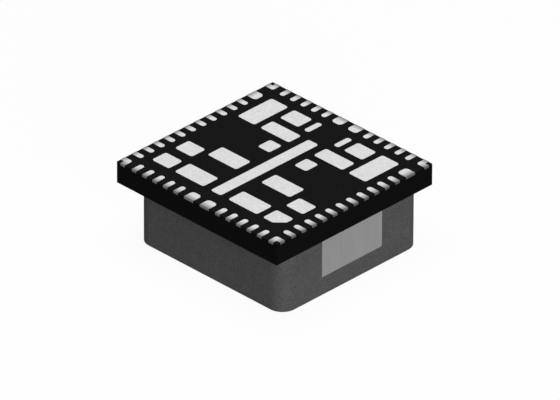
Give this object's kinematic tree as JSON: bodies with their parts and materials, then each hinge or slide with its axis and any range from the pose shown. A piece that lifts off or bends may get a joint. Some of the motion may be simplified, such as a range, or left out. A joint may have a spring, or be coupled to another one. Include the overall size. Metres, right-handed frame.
{
  "type": "qfn power module",
  "caption": "Surface-mount power module lying with its lands up: a thin quad flat no-lead package soldered to a moulded power inductor with flat side terminals.",
  "frame": {"origin": "centre of the footprint, on the plane of the inductor's flat outer face that the part rests on", "axes": "+X along the package's longer side, from the left terminal to the right one; +Y along the other side, from the index corner's edge to the back; +Z out of the solder lands"},
  "size_m": [0.0122, 0.012, 0.0052],
  "materials": {
    "moulding_compound": "matt moulded epoxy, near black",
    "tinned_copper": "matt tin plate on copper, pale grey",
    "solder": "reflowed solder, satin grey",
    "copper": "bare copper, satin",
    "silicon": "ground silicon, smooth dark grey",
    "capacitor_ceramic": "fired ceramic, matt brown",
    "pressed_powder": "pressed metal powder in resin, matt dark grey"
  },
  "bodies": {
    "root": {"back_outer_land_left": "tinned_copper", "back_outer_land_right": "tinned_copper", "back_square_land_left": "tinned_copper", "back_square_land_right": "tinned_copper", "back_narrow_land_left": "tinned_copper", "back_narrow_land_right": "tinned_copper", "back_wide_land_left": "tinned_copper", "back_wide_land_right": "tinned_copper", "small_land_left": "tinned_copper", "small_land_right": "tinned_copper", "middle_wide_land_left": "tinned_copper", "middle_wide_land_right": "tinned_copper", "middle_outer_land_left": "tinned_copper", "middle_outer_land_right": "tinned_copper", "front_wide_land_left": "tinned_copper", "front_wide_land_right": "tinned_copper", "front_outer_land_left": "tinned_copper", "front_outer_land_right": "tinned_copper", "centre_bar_land": "tinned_copper", "wide_lead_front_left": "tinned_copper", "wide_lead_front_right": "tinned_copper", "wide_lead_back_left": "tinned_copper", "wide_lead_back_right": "tinned_copper", "wide_lead_left": "tinned_copper", "wide_lead_right": "tinned_copper", "corner_lead_front_right": "tinned_copper", "corner_lead_back_right": "tinned_copper", "corner_lead_back_left": "tinned_copper", "corner_lead_front_left": "tinned_copper", "power_die_left": "silicon", "power_die_right": "silicon", "control_die": "silicon", "clip_left": "copper", "post_left": "copper", "clip_right": "copper", "post_right": "copper", "capacitor_back_left": "capacitor_ceramic", "capacitor_back_right": "capacitor_ceramic", "capacitor_inner_left": "capacitor_ceramic", "capacitor_inner_right": "capacitor_ceramic", "capacitor_front_left": "capacitor_ceramic", "capacitor_front_right": "capacitor_ceramic", "capacitor_outer_left": "capacitor_ceramic", "capacitor_outer_right": "capacitor_ceramic", "solder_joint_left": "solder", "solder_joint_right": "solder", "mould_body": "moulding_compound", "inductor_body": "pressed_powder", "coil": "copper", "terminal_left": "tinned_copper", "terminal_right": "tinned_copper"}
  },
  "joints": []
}
